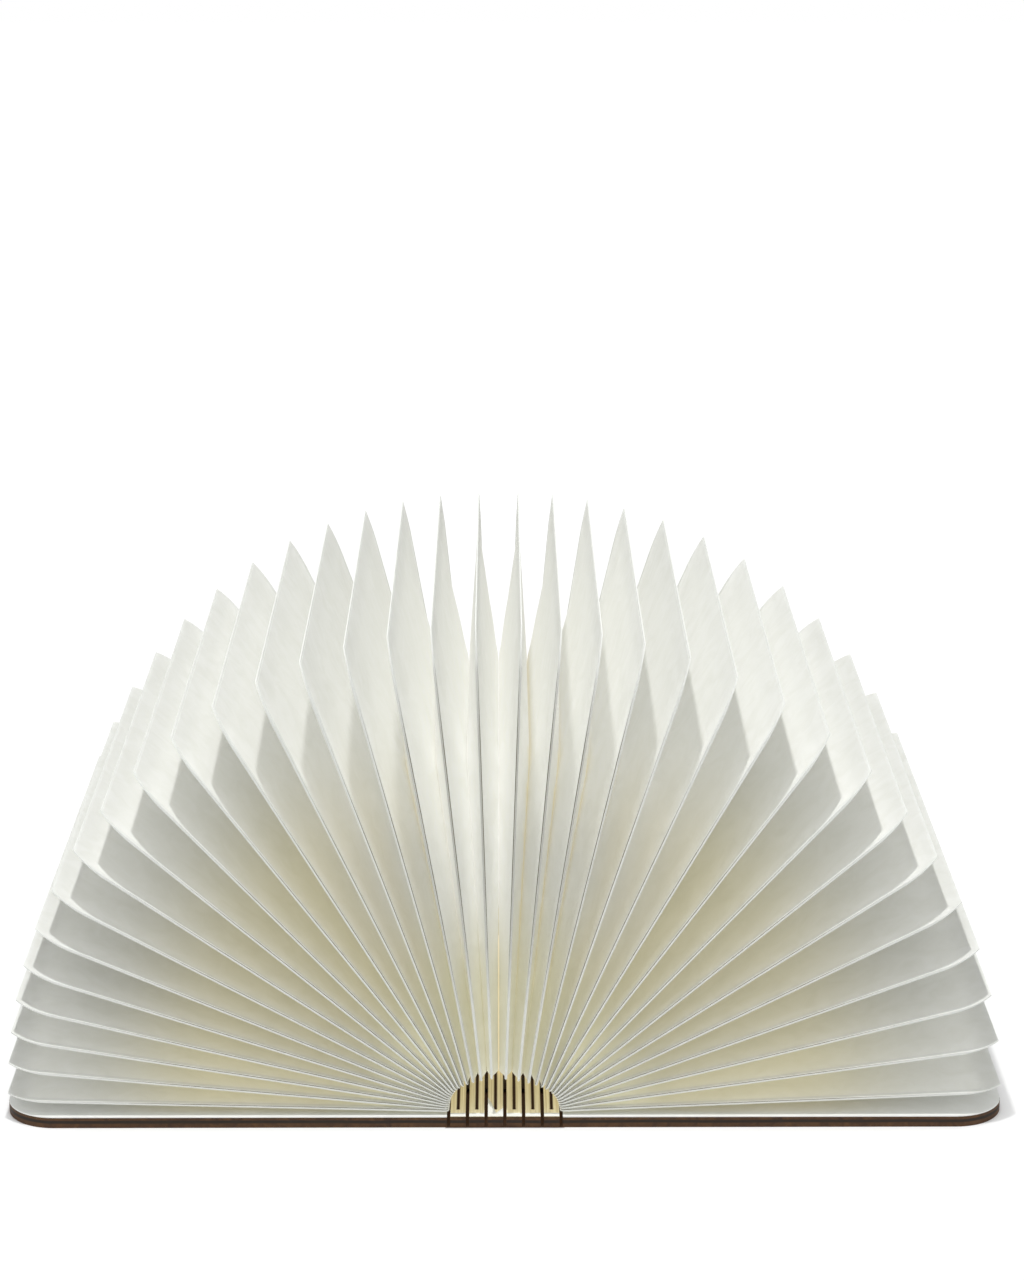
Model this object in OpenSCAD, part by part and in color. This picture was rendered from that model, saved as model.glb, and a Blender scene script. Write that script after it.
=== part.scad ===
// Folding book lamp, opened flat: two wooden cover boards, a hinged wooden spine of slats,
// and a fan of folded paper leaves over a pair of light bars.
// +X runs across the open book, +Y from the front edge to the back, +Z up.
// The origin is on the table, under the middle of the spine.

/* [Covers] */
// Width of one cover board, from its spine hinge to its fore-edge
cover_w = 164; // [150:1:175]
// Length of the book along the spine
book_l = 216; // [200:1:230]
// Thickness of the cover boards and the spine slats
board_t = 4; // [3.8:0.1:4.4]
// Radius of the rounded corners
corner_r = 18.5; // [8:0.5:24]
// Thickness of the endpapers and of the card lining on the slats
lining_t = 0.4; // [0.3:0.1:0.4]

/* [Spine] */
// Distance from one saw kerf of the spine to the next
slat_pitch = 6.9; // [6.8:0.1:7.2]
// Width of a saw kerf
kerf_w = 1.1; // [1.1:0.1:1.3]
// Radius of the round bridges that join two slats on their hinge line
bridge_r = 1; // [0.8:0.1:1.1]
// Length of one bridge
bridge_l = 10; // [6:1:14]

/* [Leaves] */
// Thickness of a leaf, which is a pocket of two sheets lying flat
leaf_t = 0.32; // [0.24:0.02:0.34]
// Reach of the lowest leaf, from its inner fold to its fore-edge
leaf_reach = 163.3; // [160:0.1:163.5]
// How much further an upright leaf reaches, down into the closed spine
leaf_belly = 9; // [7:0.5:9]
// Depth of the notch that clears the light bars
notch_d = 6; // [5:0.5:7]
// How far the leaves are set back from the front and back edges of the covers
leaf_setback = 1.3; // [1:0.1:3]
// How much of its round corners a leaf loses at the fore-edge, where it meets them at an angle
leaf_trim = 4; // [0:0.5:8]

/* [Light] */
// Length of a light bar
bar_l = 130; // [110:5:140]
// Width of a light bar's diffuser
bar_w = 3.4; // [3:0.1:3.6]
// Height of a light bar's diffuser
bar_h = 3.6; // [3:0.1:3.8]
// Side of the square battery
battery_s = 60; // [40:5:70]
// Thickness of the battery
battery_t = 2.4; // [2:0.1:2.4]

/* [Hidden] */
slat_count = 6;
left_count = 18;
right_count = 16;
leaf_total = left_count + right_count;

spine_half = slat_count * slat_pitch / 2;
cover_edge = spine_half + cover_w;
hinge_z = board_t / 2;
floor_z = board_t + lining_t;
front_y = -book_l / 2;
back_y = book_l / 2;
gap = kerf_w / 2;
fit = 0.05;
lining_inset = 0.1;
endpaper_inset = 0.1;
step = 0.01;

// Where the bridges sit along every kerf
bridge_y = [-75, -25, 25, 75];
// Start and end of the short kerfs down the middle of each slat
short_kerfs = [[front_y + 7, -36], [-30, 30], [36, back_y - 7]];
short_kerf_w = 0.9;
short_kerf_end_r = 0.75;

// Fan: the angles ease in and out at both ends of each half
left_low = 1.5;
left_span = 86.7;
left_ease = 3;
left_sag = 0.9;
right_low = 2.5;
right_span = 85.6;
right_rise = 7;
right_skew = 1.8;

// Inner folds: they stand in a low arch over the spine
arch_x = -2.5;
arch_left = 18;
arch_right = 23;
arch_ease_left = 3.6;
arch_ease_right = 3.8;
arch_z = 6.1;
arch_step_left = 0.7;
arch_step_right = 0.79;

notch_half = bar_l / 2 + 7;
inner_corner_r = 2;

board_w_led = 2;
board_t_led = 0.8;
chip_l = 1.6;
chip_w = 1.2;
chip_t = 0.5;
chip_count = 12;
chip_pitch = bar_l / chip_count;
diffuser_wall = 0.5;

pocket_floor = 1.2;
pocket_play = 0.5;
battery_at = [-96, 0];
driver_size = [30, 22, 0.8];
driver_at = [-96, back_y - 19];
socket_size = [9, 7, 2.6];
socket_wall = 0.3;
socket_x = -96;
magnet_r = 4;
magnet_t = 2;
magnet_play = 0.1;
magnet_x = cover_edge - 12;
magnet_y = book_l / 2 - 24;

wood = "#4a2f1e";
card = "#cdbe91";
paper = "#e9eae4";

// Place of a leaf in its own half of the fan, counted from that half's cover
function is_left(n) = n <= left_count;
function rank(n) = is_left(n) ? n : leaf_total + 1 - n;

// Angle of a leaf above the cover on its own side
function left_angle(v) =
    left_low + left_span * v - left_ease * sin(360 * v) - left_sag * pow(sin(180 * v), 2);
function right_angle(v) = right_low + right_span * v + right_rise * sin(180 * pow(v, right_skew));
function lift(n) = is_left(n)
    ? left_angle((rank(n) - 1) / (left_count - 1))
    : right_angle((rank(n) - 1) / (right_count - 1));

// Inner fold of a leaf
function fold_x(n) = is_left(n)
    ? arch_x - arch_left * (1 - exp(-(left_count + 0.5 - rank(n)) / arch_ease_left))
    : arch_x + arch_right * (1 - exp(-(right_count + 0.5 - rank(n)) / arch_ease_right));
function fold_z(n) = arch_z + (is_left(n) ? arch_step_left : arch_step_right) * (rank(n) - 1);
function reach(n) = leaf_reach + leaf_belly * pow(sin(lift(n)), 2);

// Hinge line number k, from 0 at the left cover to 6 at the right cover
function hinge_x(k) = -spine_half + k * slat_pitch;

module along_spine(l) {
    translate([0, l / 2, 0]) rotate([90, 0, 0]) linear_extrude(l) children();
}

// Half of each bridge: a round pin on the hinge line, held by the piece on its left
module bridge_pins(k) {
    for (y = bridge_y) translate([hinge_x(k), y, hinge_z]) {
        rotate([90, 0, 0]) cylinder(r = bridge_r, h = bridge_l, center = true, $fn = 32);
        translate([-gap - 1, -bridge_l / 2, -0.6]) cube([gap + 1, bridge_l, 1.2]);
    }
}

// The round seats that the bridges turn in, cut in the piece on their right
module bridge_seats(k) {
    for (y = bridge_y) translate([hinge_x(k), y, hinge_z]) rotate([90, 0, 0])
        cylinder(r = bridge_r + fit, h = bridge_l + 0.6, center = true, $fn = 32);
}

// Outline of a cover: two round corners at the fore-edge, square at the spine.
// It is drawn for the right cover, from the spine hinge out.
module cover_outline(inset) {
    r = corner_r - inset;
    x0 = spine_half + gap;
    x1 = cover_edge - inset;
    y1 = book_l / 2 - inset;
    square_x = x1 - r;
    translate([x0, -y1]) square([square_x - x0, 2 * y1]);
    translate([square_x - step, -y1 + r]) square([r + step, 2 * (y1 - r)]);
    for (s = [-1, 1]) translate([square_x, s * (y1 - r)]) circle(r = r, $fn = 96);
}

module magnet_set(s, play) {
    for (y = [-magnet_y, magnet_y])
        translate([s * magnet_x, y, board_t - magnet_t - play])
            cylinder(r = magnet_r + play, h = magnet_t + play, $fn = 48);
}

module left_cover() {
    pocket = battery_s + 2 * pocket_play;
    driver_w = driver_size[0] + 2 * pocket_play;
    driver_l = back_y - driver_at[1] + driver_size[1] / 2 - socket_size[1] + pocket_play;
    color(wood) difference() {
        union() {
            mirror([1, 0, 0]) linear_extrude(board_t) cover_outline(0);
            bridge_pins(0);
        }
        translate([battery_at[0] - pocket / 2, battery_at[1] - pocket / 2, pocket_floor])
            cube([pocket, pocket, board_t]);
        translate([driver_at[0] - driver_w / 2, back_y - socket_size[1] - driver_l, pocket_floor])
            cube([driver_w, driver_l, board_t]);
        translate([socket_x - socket_size[0] / 2, back_y - socket_size[1] - step, pocket_floor])
            cube([socket_size[0], socket_size[1] + 1, board_t]);
        magnet_set(-1, magnet_play);
    }
}

module right_cover() {
    color(wood) difference() {
        linear_extrude(board_t) cover_outline(0);
        bridge_seats(slat_count);
        magnet_set(1, magnet_play);
    }
}

module endpaper() {
    translate([0, 0, board_t]) linear_extrude(lining_t) difference() {
        cover_outline(endpaper_inset);
        translate([0, -book_l]) square([spine_half + gap + lining_inset, 2 * book_l]);
    }
}

module left_endpaper() {
    color(paper) mirror([1, 0, 0]) endpaper();
}

module right_endpaper() {
    color(paper) endpaper();
}

// The short kerfs down the middle of a slat, each with a round drill mark at its ends
module short_kerf_cuts(k, z0, h) {
    x = hinge_x(k - 0.5);
    for (run = short_kerfs) {
        translate([x - short_kerf_w / 2, run[0], z0]) cube([short_kerf_w, run[1] - run[0], h]);
        for (y = run) translate([x, y, z0]) cylinder(r = short_kerf_end_r, h = h, $fn = 24);
    }
}

module slat(k) {
    color(wood) difference() {
        union() {
            translate([hinge_x(k - 1) + gap, front_y, 0])
                cube([slat_pitch - kerf_w, book_l, board_t]);
            bridge_pins(k);
        }
        bridge_seats(k - 1);
        short_kerf_cuts(k, -1, board_t + 2);
    }
}

module lining(k) {
    inset = gap + lining_inset;
    color(card) difference() {
        translate([hinge_x(k - 1) + inset, front_y + 0.6, board_t])
            cube([slat_pitch - 2 * inset, book_l - 1.2, lining_t]);
        short_kerf_cuts(k, board_t - 1, lining_t + 2);
    }
}

// Outline of one leaf, laid flat: the inner fold lies on x = 0 and the leaf runs to -X
module leaf_outline(r) {
    half = book_l / 2 - leaf_setback;
    round_x = -r - leaf_trim + corner_r;
    difference() {
        union() {
            translate([round_x, -half]) square([-round_x - inner_corner_r, 2 * half]);
            translate([-r, -half + corner_r]) square([round_x + r + step, 2 * (half - corner_r)]);
            translate([-inner_corner_r - step, -half + inner_corner_r])
                square([inner_corner_r + step, 2 * (half - inner_corner_r)]);
            for (s = [-1, 1]) {
                translate([round_x, s * (half - corner_r)]) circle(r = corner_r, $fn = 96);
                translate([-inner_corner_r, s * (half - inner_corner_r)])
                    circle(r = inner_corner_r, $fn = 32);
            }
        }
        translate([-r - leaf_trim - 1, -half]) square([leaf_trim + 1, 2 * half]);
        translate([-notch_d, -notch_half]) square([notch_d + 1, 2 * notch_half]);
    }
}

module leaf(n) {
    turn = is_left(n) ? lift(n) : 180 - lift(n);
    color(paper) translate([fold_x(n), 0, fold_z(n)]) rotate([0, turn, 0])
        translate([0, 0, -leaf_t / 2]) linear_extrude(leaf_t) leaf_outline(reach(n));
}

// Light bar number b stands on the slat just left or right of the middle kerf
function bar_x(b) = hinge_x(b + 1.5);

module led_strip(b) {
    color("#e8e8e8") translate([bar_x(b) - board_w_led / 2, -bar_l / 2 + 1, floor_z])
        cube([board_w_led, bar_l - 2, board_t_led]);
    for (i = [0 : chip_count - 1]) {
        y = (i - (chip_count - 1) / 2) * chip_pitch;
        color("#e8d27a") translate([bar_x(b) - chip_w / 2, y - chip_l / 2, floor_z + board_t_led])
            cube([chip_w, chip_l, chip_t]);
    }
}

module diffuser(b) {
    half = bar_w / 2;
    inner = board_w_led / 2 + 0.1;
    shoulder = 0.8;
    color("#f2f0e6") translate([bar_x(b), 0, floor_z]) {
        along_spine(bar_l) polygon([
            [-half, 0], [-inner, 0], [-inner, bar_h - diffuser_wall],
            [inner, bar_h - diffuser_wall], [inner, 0], [half, 0],
            [half, bar_h - shoulder], [half - shoulder, bar_h],
            [-half + shoulder, bar_h], [-half, bar_h - shoulder]
        ]);
    }
}

module battery() {
    color("#b9bcc0") translate([battery_at[0] - battery_s / 2, battery_at[1] - battery_s / 2, pocket_floor])
        cube([battery_s, battery_s, battery_t]);
}

module driver_board() {
    at = [driver_at[0] - driver_size[0] / 2, back_y - socket_size[1] - driver_size[1], pocket_floor];
    top = driver_size[2];
    color("#2c6e49") translate(at) cube(driver_size);
    color("#222222") for (p = [[4, 4, 6, 6, 1], [14, 5, 5, 4, 1], [22, 4, 4, 8, 1.2]])
        translate(at + [p[0], p[1], top]) cube([p[2], p[3], p[4]]);
}

module charge_socket() {
    inner = socket_size - [2 * socket_wall + 1, 0, 2 * socket_wall];
    color("#c8cacc") translate([socket_x - socket_size[0] / 2 + 0.5, back_y - socket_size[1], pocket_floor])
        difference() {
            cube(socket_size - [1, 0, 0]);
            translate([socket_wall, 1, socket_wall])
                cube([inner[0], socket_size[1], inner[2]]);
        }
}

module left_magnets() {
    color("#c0c0c4") magnet_set(-1, 0);
}

module right_magnets() {
    color("#c0c0c4") magnet_set(1, 0);
}

left_cover();
right_cover();
left_endpaper();
right_endpaper();
slat(1);  // slat_1
slat(2);  // slat_2
slat(3);  // slat_3
slat(4);  // slat_4
slat(5);  // slat_5
slat(6);  // slat_6
lining(1);  // lining_1
lining(2);  // lining_2
lining(3);  // lining_3
lining(4);  // lining_4
lining(5);  // lining_5
lining(6);  // lining_6
leaf(1);  // leaf_01
leaf(2);  // leaf_02
leaf(3);  // leaf_03
leaf(4);  // leaf_04
leaf(5);  // leaf_05
leaf(6);  // leaf_06
leaf(7);  // leaf_07
leaf(8);  // leaf_08
leaf(9);  // leaf_09
leaf(10);  // leaf_10
leaf(11);  // leaf_11
leaf(12);  // leaf_12
leaf(13);  // leaf_13
leaf(14);  // leaf_14
leaf(15);  // leaf_15
leaf(16);  // leaf_16
leaf(17);  // leaf_17
leaf(18);  // leaf_18
leaf(19);  // leaf_19
leaf(20);  // leaf_20
leaf(21);  // leaf_21
leaf(22);  // leaf_22
leaf(23);  // leaf_23
leaf(24);  // leaf_24
leaf(25);  // leaf_25
leaf(26);  // leaf_26
leaf(27);  // leaf_27
leaf(28);  // leaf_28
leaf(29);  // leaf_29
leaf(30);  // leaf_30
leaf(31);  // leaf_31
leaf(32);  // leaf_32
leaf(33);  // leaf_33
leaf(34);  // leaf_34
led_strip(1);  // led_strip_1
led_strip(2);  // led_strip_2
diffuser(1);  // diffuser_1
diffuser(2);  // diffuser_2
battery();
driver_board();
charge_socket();
left_magnets();
right_magnets();
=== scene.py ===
# %% [markdown]
# # A folding book lamp, dressed in Blender
#
# The lamp is a hardback book that lies open on a table. Two walnut boards are its covers, a row of
# narrow slats is its spine, and thirty-four leaves of white fibre paper fan out between the covers.
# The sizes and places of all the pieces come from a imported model, the frame. This lesson gives each
# piece its real finish: wood grain on the boards, soft paper on the leaves, raw card in the spine.

# %% Load the frame
import math

import bpy
from mathutils import Matrix, Vector


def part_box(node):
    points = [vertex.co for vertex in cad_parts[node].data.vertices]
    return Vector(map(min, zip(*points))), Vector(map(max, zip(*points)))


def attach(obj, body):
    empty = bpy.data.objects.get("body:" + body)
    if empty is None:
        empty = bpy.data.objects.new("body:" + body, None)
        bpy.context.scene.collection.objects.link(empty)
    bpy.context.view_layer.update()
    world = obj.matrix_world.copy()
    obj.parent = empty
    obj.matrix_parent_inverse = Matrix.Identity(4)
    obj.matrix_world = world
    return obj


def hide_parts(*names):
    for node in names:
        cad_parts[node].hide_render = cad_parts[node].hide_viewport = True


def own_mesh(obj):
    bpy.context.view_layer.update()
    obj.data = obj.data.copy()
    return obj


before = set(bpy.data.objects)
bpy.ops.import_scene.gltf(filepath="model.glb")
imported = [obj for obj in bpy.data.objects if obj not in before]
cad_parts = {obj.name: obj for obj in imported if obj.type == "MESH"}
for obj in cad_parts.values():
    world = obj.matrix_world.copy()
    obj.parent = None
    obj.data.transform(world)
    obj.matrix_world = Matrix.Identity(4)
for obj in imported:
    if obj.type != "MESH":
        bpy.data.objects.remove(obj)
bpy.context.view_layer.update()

# %% [markdown]
# ## Reading sizes from the frame
#
# A good habit is to measure what exists before making anything new. The covers are already in the
# scene, so the corners of the right one give the width and the length of the open book and the height
# of its boards. The later cells use these numbers.

# %% Sizes of the book
MM = 0.001
right_low, right_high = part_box("right_cover")
board_top = right_high.z
front_y, back_y = right_low.y, right_high.y
book_length = back_y - front_y
cover_edge = right_high.x
slat_names = [f"slat_{k}" for k in range(1, 7)]
leaf_names = sorted(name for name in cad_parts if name.startswith("leaf_"))
print(f"open width {2 * cover_edge:.3f} m, length {book_length:.3f} m, {len(leaf_names)} leaves")

# %% [markdown]
# ## The camera
#
# The photograph looks down on the open book from the front and a little above, from over a metre away.
# A long lens keeps the fan from looking stretched. The lens is given as the photograph's own focal
# length in pixels, turned into millimetres for a 36 mm sensor along the long side of the picture.

# %% Camera
photo_long_side_px = 1280
focal_px = 3261
sensor_mm = 36
eye = Vector((-0.002, -1.210, 0.509))
look_down = math.radians(16.29)
look_right = math.radians(0.24)

camera_data = bpy.data.cameras.new("camera")
camera_data.sensor_width = sensor_mm
camera_data.lens = focal_px / photo_long_side_px * sensor_mm
camera = bpy.data.objects.new("camera", camera_data)
bpy.context.scene.collection.objects.link(camera)
camera.location = eye
camera.rotation_euler = (math.radians(90) - look_down, 0, -look_right)
bpy.context.scene.camera = camera
bpy.context.scene.view_settings.view_transform = "Standard"
print(f"lens {camera_data.lens:.1f} mm")

# %% [markdown]
# ## Small helpers for modelling by operator
#
# An operator works on whatever is selected. The loaded nodes start out selected, so every new piece
# begins by clearing the selection. Vertices and faces are then picked in code, by where they are.

# %% Helpers
def clear_selection():
    """Deselects everything, so that the next operator touches only the new piece."""
    for thing in bpy.context.selected_objects:
        thing.select_set(False)


def make_active(piece):
    """Selects one piece alone, so that operators and modifiers work on it."""
    clear_selection()
    piece.select_set(True)
    bpy.context.view_layer.objects.active = piece


def pick(piece, kind, test):
    """Selects only the vertices or faces of a mesh in edit mode that pass a test on their place."""
    bpy.ops.object.mode_set(mode="OBJECT")
    mesh = piece.data
    for group in (mesh.vertices, mesh.edges, mesh.polygons):
        group.foreach_set("select", [False] * len(group))
    chosen = {"VERT": mesh.vertices, "FACE": mesh.polygons}[kind]
    for item in chosen:
        item.select = test(item.co if kind == "VERT" else item.center)
    bpy.ops.object.mode_set(mode="EDIT")
    bpy.ops.mesh.select_mode(type=kind)


def add_marks(mesh, *marks):
    """Adds attributes to a mesh. All are added before any is read, because adding one moves the others."""
    for name, kind, domain in marks:
        mesh.attributes.new(name, kind, domain)
    return [mesh.attributes[name].data for name, kind, domain in marks]


def apply_modifiers(piece):
    """Turns every modifier of a piece into plain mesh, from the first to the last."""
    make_active(piece)
    for modifier in list(piece.modifiers):
        bpy.ops.object.modifier_apply(modifier=modifier.name)


def finish_piece(piece, name, body, material, replaces=()):
    """Names a piece, gives it its finish, and makes it ride its body."""
    piece.name = name
    piece.data.name = name
    piece.data.materials.clear()
    piece.data.materials.append(material)
    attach(piece, body)
    if replaces:
        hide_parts(*replaces)
    return piece


print("helpers ready")

# %% [markdown]
# ## Materials as small node trees
#
# Every finish here is procedural: noise drives the colour, the roughness and a fine bump. Object
# coordinates are used throughout, in metres, so the grain keeps its real scale on every piece and
# stays with the piece when the book folds. A few helpers add the nodes that all the finishes share.

# %% Helpers for node trees
def new_material(name):
    """A material with nodes, its node tree, and the Principled shader in it."""
    material = bpy.data.materials.new(name)
    material.use_nodes = True
    tree = material.node_tree
    shader = tree.nodes["Principled BSDF"]
    return material, tree, shader


def add_node(tree, kind, links=(), **values):
    """Adds a node, sets its properties or input values by name, and links inputs to other sockets."""
    node = tree.nodes.new(kind)
    for key, value in values.items():
        if hasattr(node, key):
            setattr(node, key, value)
        else:
            node.inputs[key.replace("_", " ")].default_value = value
    for socket, source in links:
        tree.links.new(source, node.inputs[socket])
    return node


def object_axes(tree):
    """The X, Y and Z of a place on the piece, in metres."""
    coords = add_node(tree, "ShaderNodeTexCoord")
    return add_node(tree, "ShaderNodeSeparateXYZ", [("Vector", coords.outputs["Object"])]).outputs


def noise(tree, scale, **values):
    """A noise pattern with its own scale, in features per metre, along each of the three axes."""
    coords = add_node(tree, "ShaderNodeTexCoord")
    mapping = add_node(tree, "ShaderNodeMapping", [("Vector", coords.outputs["Object"])], Scale=scale)
    place = mapping.outputs["Vector"]
    return add_node(tree, "ShaderNodeTexNoise", [("Vector", place)], Scale=1.0, **values).outputs["Fac"]


def calculate(tree, operation, first, second=0.0):
    """One Math node. Each of its two inputs is a socket or a plain number."""
    node = add_node(tree, "ShaderNodeMath", operation=operation)
    for number, value in enumerate((first, second)):
        if isinstance(value, (int, float)):
            node.inputs[number].default_value = value
        else:
            tree.links.new(value, node.inputs[number])
    return node.outputs[0]


def remap(tree, value, span, result=(0.0, 1.0), curve="LINEAR"):
    """Maps a value from one span to another and holds it at both ends."""
    node = add_node(tree, "ShaderNodeMapRange", [("Value", value)], interpolation_type=curve)
    node.inputs["From Min"].default_value, node.inputs["From Max"].default_value = span
    node.inputs["To Min"].default_value, node.inputs["To Max"].default_value = result
    return node.outputs["Result"]


def ramp(tree, source, stops):
    """A colour ramp with one stop for each pair of a place and a colour."""
    node = add_node(tree, "ShaderNodeValToRGB", [("Fac", source)])
    elements = node.color_ramp.elements
    # A new stop starts in the middle, and every stop is moved to its place below
    while len(elements) < len(stops):
        elements.new(0.5)
    for element, (place, colour) in zip(elements, stops):
        element.position = place
        element.color = (*colour, 1)
    return node.outputs["Color"]


def mix_colours(tree, share, first, second):
    """The first colour where share is 0 and the second where it is 1. Each is a socket or a constant."""
    node = add_node(tree, "ShaderNodeMix", [("Factor", share)], data_type="RGBA")
    for number, colour in ((6, first), (7, second)):
        if isinstance(colour, tuple):
            node.inputs[number].default_value = (*colour, 1)
        else:
            tree.links.new(colour, node.inputs[number])
    return node.outputs[2]


def add_bump(tree, shader, height, strength, distance):
    """Raises the surface by a height pattern, whose full height is a distance in metres."""
    bump = add_node(
        tree, "ShaderNodeBump", [("Height", height)], Strength=strength, Distance=distance
    )
    tree.links.new(bump.outputs["Normal"], shader.inputs["Normal"])


print("node helpers ready")

# %% [markdown]
# ## Walnut board
#
# The boards are three layers: a dark core between two walnut veneers. On the sawn edges that shows as
# a dark middle band between two brown lines, so the colour follows the height in the board. Noise
# stretched along the spine makes the grain, and a broader noise lets the middle band wander a little.

# %% Walnut
BLACK = (0, 0, 0)
WHITE = (1, 1, 1)
VENEER_DARK = (0.038, 0.016, 0.006)
VENEER_LIGHT = (0.105, 0.049, 0.017)
CORE = (0.018, 0.011, 0.006)
grain_scale = (260, 14, 260)
wander_scale = (60, 60, 0)
wander_height = 0.5 * MM
core_stops = [(0.34, BLACK), (0.42, WHITE), (0.62, WHITE), (0.72, BLACK)]
veneer_roughness = (0.5, 0.7)


def walnut_material():
    """Walnut grain, with the dark core where the height in the board is about half of it."""
    material, tree, shader = new_material("walnut")
    grain = noise(tree, grain_scale, Detail=9.0, Roughness=0.62, Distortion=0.6)
    veneer = ramp(tree, grain, [(0.3, VENEER_DARK), (0.7, VENEER_LIGHT)])
    shift = calculate(tree, "MULTIPLY", noise(tree, wander_scale, Detail=2.0), wander_height)
    height = calculate(tree, "SUBTRACT", object_axes(tree)["Z"], shift)
    band = ramp(tree, calculate(tree, "DIVIDE", height, board_top), core_stops)
    tree.links.new(mix_colours(tree, band, veneer, CORE), shader.inputs["Base Color"])
    tree.links.new(remap(tree, grain, (0, 1), veneer_roughness), shader.inputs["Roughness"])
    shader.inputs["Specular IOR Level"].default_value = 0.3
    add_bump(tree, shader, grain, strength=0.25, distance=0.15 * MM)
    return material


walnut = walnut_material()
print("made", walnut.name)

# %% [markdown]
# ## Fibre paper
#
# The leaves are non-woven paper: no weave, but a felt of long fine fibres that runs every way. Light
# shines through it, so the shader mixes a diffuse surface with a translucent one. A broad noise makes
# the cloudy look of the felt, and a finer one raises the fibres a little. Marks that the leaves get
# later on tint the paper: painted warm light from the bars, the pale cut edge, and a dark line of
# painted shade where the swelling sheet leaves the seam. The glow of the light inside is painted as a
# mark too. On a piece without these marks they all read as nothing.

# %% Paper
PAPER = (0.90, 0.905, 0.885)
PAPER_THIN = (0.86, 0.865, 0.835)
# Painted warm light of the bars, mixed into the paper's colour by the warm mark
PAINTED_WARM_LIGHT = (0.90, 0.82, 0.60)
CUT_EDGE = (0.84, 0.85, 0.82)
# Painted shade along the seam, where the swelling sheet leaves the rim
SEAM_SHADE = (0.15, 0.135, 0.085)
cloud_scale = (90, 90, 90)
fibre_scale = (900, 2400, 900)


def paper_material(name, see_through):
    """Fibre paper that lets the given share of the light through."""
    material, tree, shader = new_material(name)
    cloud = noise(tree, cloud_scale, Detail=6.0, Roughness=0.6, Distortion=1.2)
    tint = ramp(tree, cloud, [(0.35, PAPER_THIN), (0.62, PAPER)])
    # The warm mark paints light of the bars into the colour, and the last mark paints shade along the seam
    for attribute, colour in (("warm", PAINTED_WARM_LIGHT), ("cut_edge", CUT_EDGE), ("edge_line", SEAM_SHADE)):
        mark = add_node(tree, "ShaderNodeAttribute", attribute_name=attribute)
        tint = mix_colours(tree, mark.outputs["Fac"], tint, colour)
    tree.links.new(tint, shader.inputs["Base Color"])
    shader.inputs["Roughness"].default_value = 0.85
    shader.inputs["Specular IOR Level"].default_value = 0.2
    glow = add_node(tree, "ShaderNodeAttribute", attribute_name="glow")
    tree.links.new(glow.outputs["Color"], shader.inputs["Emission Color"])
    shader.inputs["Emission Strength"].default_value = 1.0
    fibre = noise(tree, fibre_scale, Detail=4.0, Roughness=0.7, Distortion=2.5)
    add_bump(tree, shader, fibre, strength=0.12, distance=0.05 * MM)
    through = add_node(tree, "ShaderNodeBsdfTranslucent", [("Color", tint)])
    mix = add_node(tree, "ShaderNodeMixShader", [(1, shader.outputs[0]), (2, through.outputs[0])])
    mix.inputs[0].default_value = see_through
    tree.links.new(mix.outputs[0], tree.nodes["Material Output"].inputs["Surface"])
    return material


leaf_paper = paper_material("leaf_paper", see_through=0.3)
leaf_paper.cycles.emission_sampling = "NONE"
end_paper = paper_material("endpaper", see_through=0.05)
print("made", leaf_paper.name, "and", end_paper.name)

# %% [markdown]
# ## Card lining
#
# Between the kerfs the spine is lined with raw card. Its fibres run along the spine, so the noise is
# stretched a hundredfold along Y and leaves fine darker and lighter lines. The laser that cut the kerfs
# scorched the card beside them: a ping-pong of the X place is the distance to the nearest kerf, and
# the scorch ends a little way before both ends of the slats. The light bars stand right on the card,
# so it has a faint glow of its own colour.

# %% Card
CARD_DARK = (0.56, 0.46, 0.26)
CARD_LIGHT = (0.86, 0.78, 0.53)
SCORCH = (0.09, 0.045, 0.015)
card_fibre_scale = (1500, 15, 1500)
card_glow = 0.25
scorch_fade = (0.45 * MM, 0.85 * MM)
scorch_end_fade = (back_y - 6.6 * MM, back_y - 5.6 * MM)
scorch_share = 0.9
# Short kerfs and long ones take turns, half a slat apart
kerf_pitch = (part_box("slat_2")[0].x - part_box("slat_1")[0].x) / 2


def card_material():
    """Raw card with lengthwise fibres, scorched beside the kerfs."""
    material, tree, shader = new_material("lining_card")
    lines = noise(tree, card_fibre_scale, Detail=5.0, Roughness=0.65)
    colour = ramp(tree, lines, [(0.3, CARD_DARK), (0.68, CARD_LIGHT)])
    place = object_axes(tree)
    from_kerf = calculate(tree, "PINGPONG", place["X"], kerf_pitch / 2)
    near_kerf = remap(tree, from_kerf, scorch_fade, (1.0, 0.0))
    from_middle = calculate(tree, "ABSOLUTE", place["Y"])
    inside = remap(tree, from_middle, scorch_end_fade, (scorch_share, 0.0))
    scorched = mix_colours(tree, calculate(tree, "MULTIPLY", near_kerf, inside), colour, SCORCH)
    tree.links.new(scorched, shader.inputs["Base Color"])
    tree.links.new(scorched, shader.inputs["Emission Color"])
    shader.inputs["Emission Strength"].default_value = card_glow
    shader.inputs["Roughness"].default_value = 0.8
    add_bump(tree, shader, lines, strength=0.3, distance=0.1 * MM)
    return material


card = card_material()
print(f"made {card.name}, with a kerf every {kerf_pitch / MM:.2f} mm")

# %% [markdown]
# ## Light bars and hidden metal
#
# The diffusers are frosted plastic over a row of LEDs. In a bright studio they glow only faintly, with
# a warm light. The battery, circuit board, socket and magnets sit inside the cover and are seen only
# when the book is taken apart, so they get simple but true finishes: one colour with a fine speckle.

# %% Light, metal and plastic
GLOW = (1.0, 0.72, 0.36)
speckle_scale = (700, 700, 700)
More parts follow.
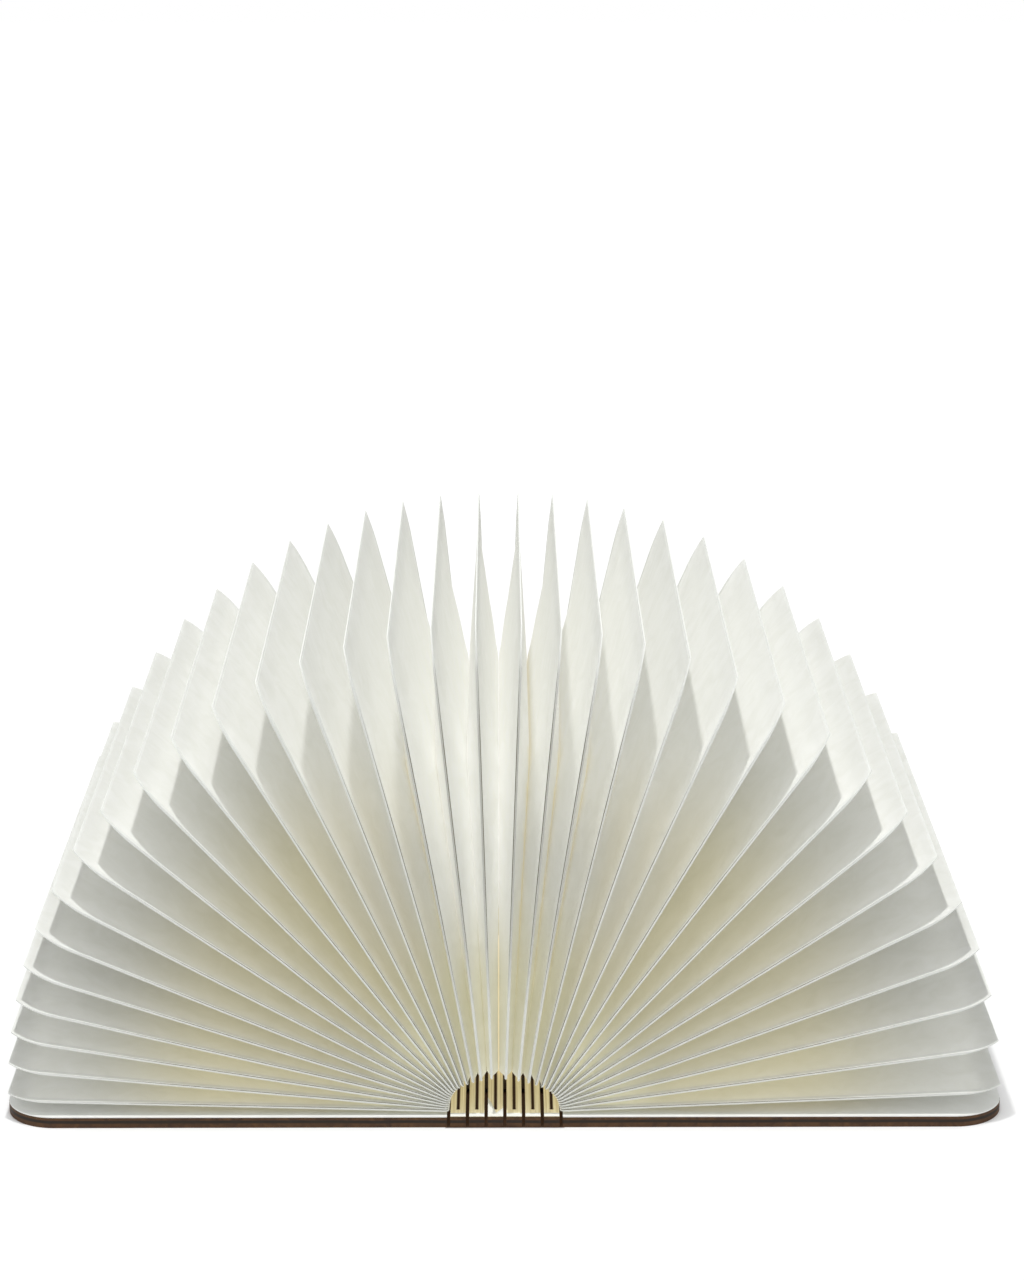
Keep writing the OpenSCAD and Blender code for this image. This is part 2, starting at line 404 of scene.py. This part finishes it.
# For each finish its colour, roughness, share of metal, and how much darker its speckle is
hidden_looks = {
    "led_strip": ((0.78, 0.78, 0.74), 0.4, 0.2, 0.1),
    "battery": ((0.55, 0.56, 0.58), 0.45, 0.9, 0.1),
    "driver_board": ((0.03, 0.16, 0.08), 0.4, 0.0, 0.3),
    "charge_socket": ((0.6, 0.6, 0.62), 0.3, 1.0, 0.08),
    "magnet": ((0.62, 0.62, 0.63), 0.25, 1.0, 0.05),
}


def speckled_material(name, colour, roughness, metallic, spread):
    """One colour with a fine speckle, which is darker by the share called spread."""
    material, tree, shader = new_material(name)
    darker = tuple(channel * (1 - spread) for channel in colour)
    tint = ramp(tree, noise(tree, speckle_scale, Detail=3.0), [(0.3, darker), (0.7, colour)])
    tree.links.new(tint, shader.inputs["Base Color"])
    shader.inputs["Roughness"].default_value = roughness
    shader.inputs["Metallic"].default_value = metallic
    return material, shader


diffuser_finish, diffuser_shader = speckled_material(
    "diffuser", (0.86, 0.83, 0.74), roughness=0.5, metallic=0.0, spread=0.05
)
diffuser_shader.inputs["Emission Color"].default_value = (*GLOW, 1)
diffuser_shader.inputs["Emission Strength"].default_value = 1.2
hidden_finishes = {name: speckled_material(name, *look)[0] for name, look in hidden_looks.items()}
print("made", 1 + len(hidden_finishes), "finishes")

# %% [markdown]
# ## Where each leaf stands
#
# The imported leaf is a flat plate. Its two ends, seen along the spine, give the fold line, the reach and
# the turn. Measuring them keeps the finished leaf exactly on its plate.

# %% Measure the leaves
end_depth = 0.5 * MM


def middle(points):
    """The mean of some points."""
    return sum(points, Vector((0, 0))) / len(points)


def measure_leaf(name):
    """Fold end, outward direction and reach of a leaf, from the middles of its plate's two ends."""
    points = [Vector((v.co.x, v.co.z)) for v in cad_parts[name].data.vertices]
    tip = max(points, key=lambda point: point.length)
    near = max(points, key=lambda point: (point - tip).length)
    run = (tip - near).normalized()
    reach = (tip - near).dot(run)
    tip = middle([point for point in points if (point - near).dot(run) > reach - end_depth])
    near = middle([point for point in points if (point - tip).dot(run) < end_depth - reach])
    return near, (tip - near).normalized(), (tip - near).length


leaf_places = [measure_leaf(name) for name in leaf_names]
for name, (near, out, reach) in list(zip(leaf_names, leaf_places))[::8]:
    print(f"{name}: fold at {near.x:.4f}, {near.y:.4f}, reach {reach:.4f}")

# %% [markdown]
# ## One leaf is a pocket
#
# A leaf of this lamp is not a single sheet. Two sheets are joined along three edges, front, back and
# fore-edge, and stay open toward the spine, so that the light shines in between them. When the book is
# open the pockets swell until each touches its neighbours, and only the joined rims stay thin.
#
# So a leaf is modelled as two things. The rim is a flat U-shaped band, made from a plane: its corners
# are rounded by a vertex bevel, a bisect trims the fore-edge so that it meets the round corners at an
# angle, an inset draws the band, and the middle is deleted. Two extrusions give it a pale edge about
# two thirds of a millimetre high and, above that, a fine dark line of painted shade along the seam.

# %% Rim of a leaf
leaf_reach = 165 * MM
corner_radius = 18.5 * MM
corner_trim = 4 * MM
fold_corner_radius = 2 * MM
corner_steps = 14
fold_corner_steps = 4
band_cuts = 5
rim_width = 2.4 * MM
setback = 1.3 * MM
leaf_half = book_length / 2 - setback
band_low = -0.5 * MM
band_high = 0.18 * MM
line_high = 0.42 * MM


def draw_leaf_outline():
    """A flat leaf with round corners, from its fold at X = 0 to its trimmed fore-edge."""
    clear_selection()
    bpy.ops.mesh.primitive_plane_add(size=1, location=(0, 0, 0))
    leaf = bpy.context.active_object
    bpy.ops.object.mode_set(mode="EDIT")
    untrimmed = leaf_reach + corner_trim
    bpy.ops.transform.resize(value=(untrimmed, 2 * leaf_half, 1))
    bpy.ops.transform.translate(value=(-untrimmed / 2, 0, 0))
    # The two corners at the fore-edge
    pick(leaf, "VERT", lambda place: place.x < -leaf_reach / 2)
    bpy.ops.mesh.bevel(offset=corner_radius, segments=corner_steps, affect="VERTICES")
    # The two corners at the fold
    pick(leaf, "VERT", lambda place: place.x > -MM / 10)
    bpy.ops.mesh.bevel(offset=fold_corner_radius, segments=fold_corner_steps, affect="VERTICES")
    bpy.ops.mesh.select_all(action="SELECT")
    bpy.ops.mesh.bisect(plane_co=(-leaf_reach, 0, 0), plane_no=(1, 0, 0), clear_inner=True)
    return leaf


def make_rim():
    """The band along three edges of a leaf, raised into a pale edge and, above it, a line for painted seam
    shade.
    """
    band = draw_leaf_outline()
    bpy.ops.mesh.select_all(action="SELECT")
    bpy.ops.mesh.inset(thickness=rim_width, depth=0)
    bpy.ops.mesh.delete(type="FACE")
    near_fold = leaf_half - 2 * rim_width
    pick(band, "FACE", lambda place: place.x > -rim_width and abs(place.y) < near_fold)
    bpy.ops.mesh.delete(type="FACE")
    bpy.ops.mesh.select_all(action="SELECT")
    bpy.ops.transform.translate(value=(0, 0, band_low))
    bpy.ops.mesh.subdivide(number_cuts=band_cuts)
    for step in (band_high - band_low, line_high - band_high):
        bpy.ops.mesh.extrude_region_move(TRANSFORM_OT_translate={"value": (0, 0, step)})
    bpy.ops.mesh.select_all(action="SELECT")
    bpy.ops.mesh.normals_make_consistent(inside=False)
    bpy.ops.object.mode_set(mode="OBJECT")
    return band


def mark_rim(band):
    """Marks the upright faces of a rim as its cut edge, and the upper ones of them for painted shade along
    the seam.
    """
    cut, line = add_marks(band.data, ("cut_edge", "FLOAT", "CORNER"), ("edge_line", "FLOAT", "CORNER"))
    for face in band.data.polygons:
        if abs(face.normal.z) < 0.5:
            for corner in face.loop_indices:
                cut[corner].value = 1
                line[corner].value = 1 if face.center.z > band_high else 0


rim_pattern = make_rim()
mark_rim(rim_pattern)
print("rim pattern:", len(rim_pattern.data.polygons), "faces")

# %% [markdown]
# ## The two sheets of a pocket
#
# The sheet pattern is a grid whose rows crowd together near the rims, where the paper bends most. Each
# row is shortened at its far end to follow the round corner. A notch along the fold leaves room for
# the light bars. Two such sheets, a hair apart, make a pocket.

# %% Pattern of the two sheets
grid_rows = 56
grid_columns = 40
row_crowding = 0.55
column_crowding = 0.4
tuck = 1 * MM
notch_depth = 6 * MM
notch_half = 72 * MM
sheet_rest = 0.15 * MM


def corner_cut(from_end):
    """How far the round corner cuts into a row that lies from_end away from the front or back edge."""
    inside = max(0, corner_radius - from_end)
    full_cut = corner_radius - math.sqrt(max(0, corner_radius ** 2 - inside ** 2))
    return max(0, full_cut - corner_trim)


def crowded(value, share):
    """Draws even values between 0 and 1 closer together toward 1."""
    return (1 - share) * value + share * math.sin(value * math.pi / 2)


def make_sheets():
    """Two flat sheets, each a grid trimmed to the outline of a leaf, a tuck inside its edges."""
    clear_selection()
    bpy.ops.mesh.primitive_grid_add(x_subdivisions=grid_columns, y_subdivisions=grid_rows, size=1)
    sheets = bpy.context.active_object
    half = leaf_half - tuck
    for vertex in sheets.data.vertices:
        across = 0.5 - vertex.co.x
        along = 2 * vertex.co.y
        vertex.co.y = half * crowded(along, row_crowding)
        row_length = leaf_reach - tuck - corner_cut(half - abs(vertex.co.y) + tuck)
        vertex.co.x = -row_length * crowded(across, column_crowding)
    make_active(sheets)
    bpy.ops.object.mode_set(mode="EDIT")
    pick(sheets, "FACE", lambda place: place.x > -notch_depth and abs(place.y) < notch_half)
    bpy.ops.mesh.delete(type="FACE")
    bpy.ops.mesh.select_all(action="SELECT")
    bpy.ops.mesh.duplicate()
    bpy.ops.transform.translate(value=(0, 0, sheet_rest))
    bpy.ops.mesh.select_all(action="INVERT")
    bpy.ops.transform.translate(value=(0, 0, -sheet_rest))
    bpy.ops.object.mode_set(mode="OBJECT")
    return sheets


sheet_pattern = make_sheets()
print("sheet pattern:", len(sheet_pattern.data.polygons), "faces")

# %% [markdown]
# ## How far a pocket swells
#
# Halfway between two leaves runs the line where their pockets meet. The swell is a share of the way to
# that line: nothing at the joined rims, everything deep inside. From the fore-edge it grows almost
# evenly, and from the front and back edges it starts flat and then rises quickly.

# %% Swell of a pocket
fore_rise = 60 * MM
fore_curve = 1.3
end_rise_at_fold = 8 * MM
end_rise_at_fore_edge = 55 * MM
end_rise_curve = 0.8
end_curve = 2.2
clearance = 0.05 * MM
paper_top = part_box("left_endpaper")[1].z + clearance


def swell_share(reach, across, y):
    """Share of the way to the neighbour that a sheet swells, at a distance across the leaf and a Y."""
    from_end = leaf_half - abs(y)
    from_fore = reach - across - corner_cut(from_end)
    fore = min(1, max(0, (from_fore - tuck) / fore_rise))
    outward = min(1, across / reach) ** end_rise_curve
    rise = end_rise_at_fold + (end_rise_at_fore_edge - end_rise_at_fold) * outward
    end = min(1, max(0, (from_end - rim_width) / (rise - rim_width)))
    return fore ** fore_curve * end ** end_curve


def gap_to_neighbour(number, side, share):
    """Distance along a leaf's own normal to the line halfway to its neighbour, or to the cover."""
    near, out, reach = leaf_places[number]
    normal = Vector((out.y, -out.x))
    here = near + out * reach * share
    other = number + side
    if 0 <= other < len(leaf_places):
        near_2, out_2, reach_2 = leaf_places[other]
        there = near_2 + out_2 * reach_2 * share
        return abs((there - here).dot(normal)) / 2
    return (here.y - paper_top) / abs(normal.y)


print("half gap of leaf 10 at its middle:", round(gap_to_neighbour(9, 1, 0.5), 5), "m")

# %% [markdown]
# ## Light in the valleys
#
# The bars light every pocket from inside, and the sheets pass that light on from one to the next.
# Tracing it through so many sheets would be slow and grainy, so each vertex of a sheet carries its
# light as a colour of its own. How much it gets depends on how upright its valley stands, on its
# share of the way out from the fold, on its swell, and on whether it faces down toward the cover.
# A fade rises smoothly from 0 to 1 between two limits, and each line below adds one thing to see.

# %% Light in the valleys
GLOW_WHITE = (1, 0.995, 0.985)
GLOW_WARM_LOSS = (0, 0.06, 0.34)
# Low in the fan
low_light = 0.092
fold_gain = 0.06
outward_loss = 0.025
flat_gain = 0.03
rising_gain = 0.01
flat_tip_loss = 0.022
rim_below_gain = 0.02
# High in the fan
high_light = 0.122
central_gain = 0.012
halfway_gain = 0.024
central_halfway_gain = 0.012
tip_loss = 0.065
central_tip_gain = 0.03
rim_part = 0.85
# Under the lamp overhead, and what is left at the fore-edge of a steep leaf
overhead_light = 0.08
steep_tip_part = 0.6
# Share of painted warm light in the paper's colour
least_tint = 0.03
rim_tint = 0.5
gutter_tint = 0.6


def fade(low, high, value):
    """Rises smoothly from 0 at the low limit to 1 at the high one."""
    share = min(1, max(0, (value - low) / (high - low)))
    return share * share * (3 - 2 * share)


def within(rise, fall, value):
    """1 between a rise and a fall, each given by its two limits, and 0 outside them."""
    return fade(*rise, value) * (1 - fade(*fall, value))


def valley_of(number, side):
    """Mean lean and steepness of the two leaves on either side of a valley."""
    out = leaf_places[number][1]
    other = leaf_places[min(max(number + side, 0), len(leaf_places) - 1)][1]
    return (out.x + other.x) / 2, (out.y + other.y) / 2


def overhead_share(lean):
    """1 for the few valleys that point straight at the lamp overhead, which are the brightest."""
    return within((-0.2, -0.12), (0.01, 0.06), lean)


def light_low_in_the_fan(upright, share_out, share, underside):
    """Brightest at the fold, dimmer further out, and dimmest near the tips of the flattest leaves."""
    at_fold = 1 - fade(0.05, 0.25, share_out)
    outward = fade(0.2, 0.9, share_out)
    flat = 1 - fade(0.15, 0.35, upright)
    rising = fade(0.6, 0.85, upright)
    flat_tip = (1 - fade(0.35, 0.6, upright)) * fade(0.5, 0.8, share_out)
    rim_below = underside * (1 - share) * fade(0.35, 0.6, share_out)
    light = low_light + fold_gain * at_fold - outward_loss * outward
    light += flat_gain * flat + rising_gain * rising
    return light - flat_tip_loss * flat_tip + rim_below_gain * rim_below


def light_high_in_the_fan(upright, share_out, share):
    """Brightest halfway up the steep leaves, and less so toward their tips and their rims."""
    central = fade(0.965, 0.985, upright)
    halfway = fade(0.45, 0.65, share_out)
    near_tip = fade(0.75, 0.95, share_out)
    light = high_light + central_gain * central
    light += (halfway_gain + central_halfway_gain * fade(0.96, 0.99, upright)) * halfway
    light -= (tip_loss - central_tip_gain * central) * near_tip
    return light * (rim_part + (1 - rim_part) * share)


def rim_warmth(valley, share_out, share, underside):
    """The warm light on the underside of a leaf is strongest close to its rim, except in the middle of the
    fan.
    """
    spread = within((0.1, 0.3), (0.55, 0.85), share_out)
    return underside * spread * (1 - share) * (1 - fade(0.965, 0.99, valley[1]))


def gutter_line(valley, share_out, share, underside):
    """Between steep leaves the warm light shows only as a thin line where two pockets meet."""
    along = within((0.1, 0.3), (0.6, 0.85), share_out)
    steep = fade(0.95, 0.985, valley[1]) * (1 - overhead_share(valley[0]))
    return underside * steep * along * fade(0.88, 0.98, share)


def light_warmth(valley, share_out, share, underside):
    """How warm the light is: fully at the fold, less toward the tips, high up and under the lamp."""
    above_fold = fade(0.15, 0.45, share_out)
    steep = 0.92 * fade(0.84, 0.92, valley[1]) * above_fold
    warm = (1 - overhead_share(valley[0]) * above_fold) * (1 - fade(0.55, 0.9, share_out)) * (1 - steep)
    return max(warm, rim_warmth(valley, share_out, share, underside),
               gutter_line(valley, share_out, share, underside))


def glow_colour(valley, share_out, from_fore, share, underside):
    """Light that comes through the sheets of one valley. It fades out toward the fore-edge."""
    lean, upright = valley
    low = light_low_in_the_fan(upright, share_out, share, underside)
    high = light_high_in_the_fan(upright, share_out, share)
    half_out = within((0.15, 0.45), (0.5, 0.8), share_out)
    from_lamp = overhead_light * overhead_share(lean) * share * half_out
    inward = max(fade(3 * MM, 12 * MM, from_fore), steep_tip_part * fade(0.75, 0.9, upright))
    light = (low + (high - low) * fade(0.84, 0.92, upright) + from_lamp) * inward
    warm = light_warmth(valley, share_out, share, underside)
    return [light * (white - loss * warm) for white, loss in zip(GLOW_WHITE, GLOW_WARM_LOSS)] + [1]


def painted_warm_light_share(valley, share_out, share, underside):
    """How strongly painted warm light from the bars tints the paper's base colour."""
    return max(least_tint, rim_tint * rim_warmth(valley, share_out, share, underside),
               gutter_tint * gutter_line(valley, share_out, share, underside))


middle_valley = valley_of(len(leaf_places) // 2, 1)
print("light in a middle valley:", round(light_high_in_the_fan(middle_valley[1], 0.5, 1), 3))

# %% [markdown]
# ## Thirty-four leaves
#
# Each leaf gets its own copy of the two patterns, stretched to its reach. The sheets swell toward both
# neighbours, get their thickness, and then the leaf is turned into place.

# %% Shape and mark a leaf
sheet_thickness = 0.2 * MM
rim_taper = 0.55
# Painted shade on the whole cut edge of steep leaves
steep_edge_shade = 0.4


def shape_rim(rim, number, cover_side):
    """Turns the part with the painted seam shade away from the cover, thins the fore-edge, keeps off the
    neighbours.
    """
    reach = leaf_places[number][2]
    for vertex in rim.data.vertices:
        share = min(1, -vertex.co.x / reach)
        height = -cover_side * vertex.co.z * (1 - rim_taper * fade(0.9, 0.98, share))
        side = 1 if height > 0 else -1
        gap = gap_to_neighbour(number, side, share) - clearance
        vertex.co.z = side * min(abs(height), max(gap, sheet_rest))
    if cover_side > 0:
        rim.data.flip_normals()


def shade_seam(rim, reach, upright):
    """Paints shade on the front edge: the seam, and the whole cut edge of steep leaves. It fades toward
    the tip, and on steep leaves at the fold.
    """
    steep = fade(0.96, 0.998, upright)
    cut, line = rim.data.attributes["cut_edge"].data, rim.data.attributes["edge_line"].data
    for corner in rim.data.loops:
        place = rim.data.vertices[corner.vertex_index].co
        share = -place.x / reach
        toward_tip = fade(0.7 + 0.15 * steep, 0.8 + 0.17 * steep, share)
        at_fold = 1 - fade(0.12, 0.4, share)
        # Share of the painted seam shade kept at this place
        seam = (1 - toward_tip) * (1 - steep * at_fold)
        shade = max(line[corner.index].value, steep_edge_shade * steep * cut[corner.index].value)
        line[corner.index].value = seam * shade if place.y < 0 else 0


def swell_sheets(sheets, number, cover_side):
    """Swells the two sheets toward both neighbours and marks them with the light that they get."""
    reach = leaf_places[number][2]
    glow, warm = add_marks(sheets.data, ("glow", "FLOAT_COLOR", "POINT"), ("warm", "FLOAT", "POINT"))
    for vertex in sheets.data.vertices:
        side = 1 if vertex.co.z > 0 else -1
        across = -vertex.co.x
        share_out = across / reach
        gap = gap_to_neighbour(number, side, share_out)
        gap = max(gap - clearance - sheet_thickness / 2, sheet_rest)
        share = swell_share(reach, across, vertex.co.y)
        vertex.co.z = side * (sheet_rest + share * (gap - sheet_rest))
        valley = valley_of(number, side)
        underside = side == cover_side
        glow[vertex.index].color = glow_colour(valley, share_out, reach - across, share, underside)
        # The warm mark is painted warm light in the paper's colour
        warm[vertex.index].value = painted_warm_light_share(valley, share_out, share, underside)


def thicken_sheet(piece, thickness):
    """Gives a sheet its thickness, half of it to either side."""
    thicken = piece.modifiers.new("thickness", "SOLIDIFY")
    thicken.thickness = thickness
    thicken.offset = 0
    apply_modifiers(piece)


print("leaf helpers ready")

# %% [markdown]
# A leaf rides its own body, which the frame calls by the same name, and its rim takes the place of the
# flat plate there.

# %% Make the leaves
flat_share = 0.004
rim_share = 0.52
smooth_angle = math.radians(40)


def make_leaf(number):
    """Builds one leaf on its plate, and tells how many faces it has."""
    name = leaf_names[number]
    near, out, reach = leaf_places[number]
    rim = bpy.data.objects.new("rim", rim_pattern.data.copy())
    sheets = bpy.data.objects.new("sheets", sheet_pattern.data.copy())
    cover_side = -1 if out.x < 0 else 1
    for piece in (rim, sheets):
        bpy.context.scene.collection.objects.link(piece)
        piece.data.transform(Matrix.Diagonal((reach / leaf_reach, 1, 1, 1)))
    shape_rim(rim, number, cover_side)
    shade_seam(rim, reach, out.y)
    swell_sheets(sheets, number, cover_side)
    thicken_sheet(sheets, sheet_thickness)
    turn = math.atan2(out.y, -out.x)
    place = Matrix.Translation((near.x, 0, near.y)) @ Matrix.Rotation(turn, 4, "Y")
    for piece, part in ((rim, "rim"), (sheets, "sheets")):
        piece.data.transform(place)
        make_active(piece)
        bpy.ops.object.shade_smooth_by_angle(angle=smooth_angle)
        finish_piece(piece, f"{name}_{part}", name, leaf_paper)
    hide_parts(name)
    for piece, keep in ((rim, rim_share), (sheets, flat_share)):
        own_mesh(piece)
    return len(rim.data.polygons) + len(sheets.data.polygons)


faces = [make_leaf(number) for number in range(len(leaf_names))]
for pattern in (rim_pattern, sheet_pattern):
    bpy.data.objects.remove(pattern)
print("made", len(faces), "leaves of", faces[0], "faces")

# %% [markdown]
# ## Paper edges of the spine
#
# The white paper that lines the covers also peeps out at both ends of every slat, in front of the card.
# One narrow rectangle per slat end is enough: a filled circle with as few points as the paper has
# corners, each moved to its corner, and given some thickness. On the third slat a little of this paper
# has come loose and lies over the card as two pointed flaps.

# %% Paper edges of the spine
card_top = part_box("lining_1")[1].z
edge_paper = 0.08 * MM
edge_depth = 2.9 * MM
edge_setback = 0.05 * MM
flap_width = 3 * MM
flap_bend = (1.3 * MM, 9 * MM)
flap_length = 14 * MM
fold_width = 2.6 * MM
fold_length = 4.5 * MM


def paper_strip(corners, name, body):
    """A thin flat piece of paper on the card, drawn round its corners."""
    clear_selection()
    bpy.ops.mesh.primitive_circle_add(vertices=len(corners), radius=MM, fill_type="NGON")
    strip = bpy.context.active_object
    for vertex, (x, y) in zip(strip.data.vertices, corners):
        vertex.co = (x, y, card_top + edge_paper)
    make_active(strip)
    thicken_sheet(strip, edge_paper)
    bpy.ops.object.mode_set(mode="EDIT")
    bpy.ops.mesh.select_all(action="SELECT")
    bpy.ops.mesh.normals_make_consistent(inside=False)
    bpy.ops.object.mode_set(mode="OBJECT")
    return finish_piece(strip, name, body, end_paper)


for number, slat in enumerate(slat_names, 1):
    low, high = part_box(f"lining_{number}")
    for end, part in ((-1, "front"), (1, "back")):
        outer, inner = end * (back_y - edge_setback), end * (back_y - edge_depth)
        corners = [(low.x, outer), (high.x, outer), (high.x, inner), (low.x, inner)]
        paper_strip(corners, f"{slat}_paper_{part}", slat)
low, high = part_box("lining_3")
start = front_y + edge_depth + edge_setback
flap = [(low.x, start), (low.x + flap_width, start),
        (low.x + flap_bend[0], start + flap_bend[1]), (low.x, start + flap_length)]
paper_strip(flap, "slat_3_flap", "slat_3")
fold = [(high.x - fold_width, start), (high.x, start), (high.x, start + fold_length)]
paper_strip(fold, "slat_3_fold", "slat_3")
print("paper at", 2 * len(slat_names), "slat ends")

# %% [markdown]
# ## Boards and slats with eased edges
#
# Wood is never knife-sharp. The covers and slats are right as they were packed, so each is copied,
# its doubles merged and flat faces cleaned up, and its edges get a very small bevel that catches light.

# %% Boards and slats
edge_ease = 0.22 * MM
merge_distance = 0.001 * MM
flat_angle = math.radians(0.5)
sharp_angle = math.radians(50)


def eased_copy(node, width):
    """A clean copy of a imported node, with a small bevel of that width along its sharp edges."""
    clear_selection()
    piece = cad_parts[node].copy()
    piece.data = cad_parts[node].data.copy()
    for key in [key for key in piece.keys() if key.startswith("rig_")]:
        del piece[key]
    piece.parent = None
    bpy.context.scene.collection.objects.link(piece)
    make_active(piece)
    bpy.ops.object.mode_set(mode="EDIT")
    bpy.ops.mesh.select_all(action="SELECT")
    bpy.ops.mesh.remove_doubles(threshold=merge_distance)
    bpy.ops.mesh.dissolve_limited(angle_limit=flat_angle)
    bpy.ops.object.mode_set(mode="OBJECT")
    ease = piece.modifiers.new("ease", "BEVEL")
    ease.width = width
    ease.segments = 2
    ease.limit_method = "ANGLE"
    ease.angle_limit = sharp_angle
    apply_modifiers(piece)
    return piece


for node in ["left_cover", "right_cover"] + slat_names:
    board = eased_copy(node, edge_ease)
    finish_piece(board, f"{node}_board", node, walnut, [node])
print("eased", 2 + len(slat_names), "wooden pieces")

# %% [markdown]
# ## Pieces that stay as they were packed
#
# The endpapers, the card strips, the light bars and the parts inside the cover have their real shape
# already. They only need their finish, which is found by the start of each node's name.

# %% Papers and cards of the frame
finish_of = {
    "left_endpaper": end_paper,
    "right_endpaper": end_paper,
    "lining": card,
    "diffuser": diffuser_finish,
    "left_magnets": hidden_finishes["magnet"],
    "right_magnets": hidden_finishes["magnet"],
    **hidden_finishes,
}
dressed = []
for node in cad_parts.values():
    for start, finish in finish_of.items():
        if node.name.startswith(start):
            node.data.materials.clear()
            node.data.materials.append(finish)
            dressed.append(node.name)
print("gave", len(dressed), "packed nodes their finishes")

# %% [markdown]
# ## Table
#
# The lamp stands on a plain white table. It is near white to the camera, except close to the covers,
# where their shadow shows, and under the spine it is painted dark as shade, so that the kerfs look as
# deep as they are.
# All of that follows the distance from the rounded outline of the open book, worked out with a few
# vector nodes, so it needs no picture.

# %% Table
FLOOR = (0.9, 0.9, 0.9)
# Painted shade under the spine, which shows through the kerfs
SHADE_UNDER_SPINE = (0.028, 0.015, 0.008)
table_size = 8
table_light = 1.1
near_light = 0.2
shadow_reach = 45 * MM
outline_fade = (corner_radius - 0.3 * MM, corner_radius + 1.2 * MM)


def vector_step(tree, operation, source, value=(0, 0, 0)):
    """One Vector Math node, with a socket and a constant. Lengths come out of its second output."""
    node = add_node(tree, "ShaderNodeVectorMath", [(0, source)], operation=operation)
    node.inputs[1].default_value = value
    return node.outputs


def from_corner_centre(tree):
    """Distance from the lines on which the outline's round corners have their centres."""
    coords = add_node(tree, "ShaderNodeTexCoord")
    quarter = vector_step(tree, "ABSOLUTE", coords.outputs["Object"])[0]
    centre = (cover_edge - corner_radius, back_y - corner_radius, 0)
    inner = vector_step(tree, "SUBTRACT", quarter, centre)[0]
    outward = vector_step(tree, "MAXIMUM", inner)[0]
    return vector_step(tree, "LENGTH", outward)["Value"]


def paint_shade_under_spine(tree, shader, beside):
    """White beside the book, and painted dark as shade under the spine, with a very faint painted glow."""
    across = calculate(tree, "ABSOLUTE", object_axes(tree)["X"])
    off_spine = remap(tree, across, (right_low.x, right_low.x + MM))
    clear = calculate(tree, "MAXIMUM", off_spine, beside)
    tree.links.new(mix_colours(tree, clear, SHADE_UNDER_SPINE, FLOOR), shader.inputs["Base Color"])
    tree.links.new(calculate(tree, "SUBTRACT", 1, beside), shader.inputs["Emission Strength"])
    shader.inputs["Emission Color"].default_value = (*SHADE_UNDER_SPINE, 1)


def white_table():
    """A wide plane that the camera sees as near white, and darker close to the book."""
    clear_selection()
    bpy.ops.mesh.primitive_plane_add(size=table_size, location=(0, 0, 0))
    table = bpy.context.active_object
    table.name = "table"
    material, tree, shader = new_material("table_white")
    shader.inputs["Roughness"].default_value = 0.9
    shader.inputs["Specular IOR Level"].default_value = 0.1
    distance = from_corner_centre(tree)
    beside = remap(tree, distance, outline_fade, curve="SMOOTHSTEP")
    paint_shade_under_spine(tree, shader, beside)
    light_share = remap(tree, distance, (corner_radius, corner_radius + shadow_reach), (near_light, 1.0))
    path = add_node(tree, "ShaderNodeLightPath")
    lit = calculate(tree, "MULTIPLY", beside, light_share)
    seen = calculate(tree, "MULTIPLY", lit, path.outputs["Is Camera Ray"])
    glow = add_node(tree, "ShaderNodeEmission", Strength=table_light)
    mix = add_node(tree, "ShaderNodeMixShader", [(0, seen), (1, shader.outputs[0]), (2, glow.outputs[0])])
    tree.links.new(mix.outputs[0], tree.nodes["Material Output"].inputs["Surface"])
    table.data.materials.append(material)
    return table


table = white_table()
print("table is", round(table.dimensions.x, 1), "m wide")

# %% [markdown]
# ## Lamp overhead
#
# One small lamp, about a metre above the book and a little to the left and the front, gives the fan
# its shape, as in the photograph: it lights the outer strip of every leaf and lets the next leaf shade
# the rest. A small disk keeps the shadows between the leaves clear.

# %% Lamp
lamp_place = Vector((-0.069, -0.164, 1.105))
lamp_aim = Vector((0, 0, 0.05))
lamp_data = bpy.data.lights.new("overhead", "AREA")
lamp_data.shape = "DISK"
lamp_data.size = 0.05
lamp_data.energy = 6.3
lamp = bpy.data.objects.new("overhead", lamp_data)
bpy.context.scene.collection.objects.link(lamp)
lamp.location = lamp_place
lamp.rotation_euler = (lamp_aim - lamp_place).to_track_quat("-Z", "Y").to_euler()
print(f"lamp {(lamp_aim - lamp_place).length:.2f} m from the book")

# %% [markdown]
# ## World
#
# The world gives the even light of a white room, which fills the shadows. What is seen of it directly,
# in a gloss or through something clear is a plain white of strength 1, so the background stays white.

# %% World
ROOM = (0.99, 1.0, 1.0)
room_light = 0.8
world = bpy.data.worlds.new("studio")
bpy.context.scene.world = world
world.use_nodes = True
sky = world.node_tree
room = sky.nodes["Background"]
room.inputs["Color"].default_value = (*ROOM, 1)
room.inputs["Strength"].default_value = room_light
backdrop = add_node(sky, "ShaderNodeBackground", Strength=1.0)
backdrop.inputs["Color"].default_value = (*WHITE, 1)
path = add_node(sky, "ShaderNodeLightPath")
straight = calculate(sky, "MAXIMUM", path.outputs["Is Camera Ray"], path.outputs["Is Glossy Ray"])
seen = calculate(sky, "MAXIMUM", straight, path.outputs["Is Transmission Ray"])
choose = add_node(sky, "ShaderNodeMixShader", [(0, seen), (1, room.outputs[0]), (2, backdrop.outputs[0])])
sky.links.new(choose.outputs[0], sky.nodes["World Output"].inputs["Surface"])
print("world is white to the camera")

# %% [markdown]
# ## Finished

# %% Finished
print("finished")
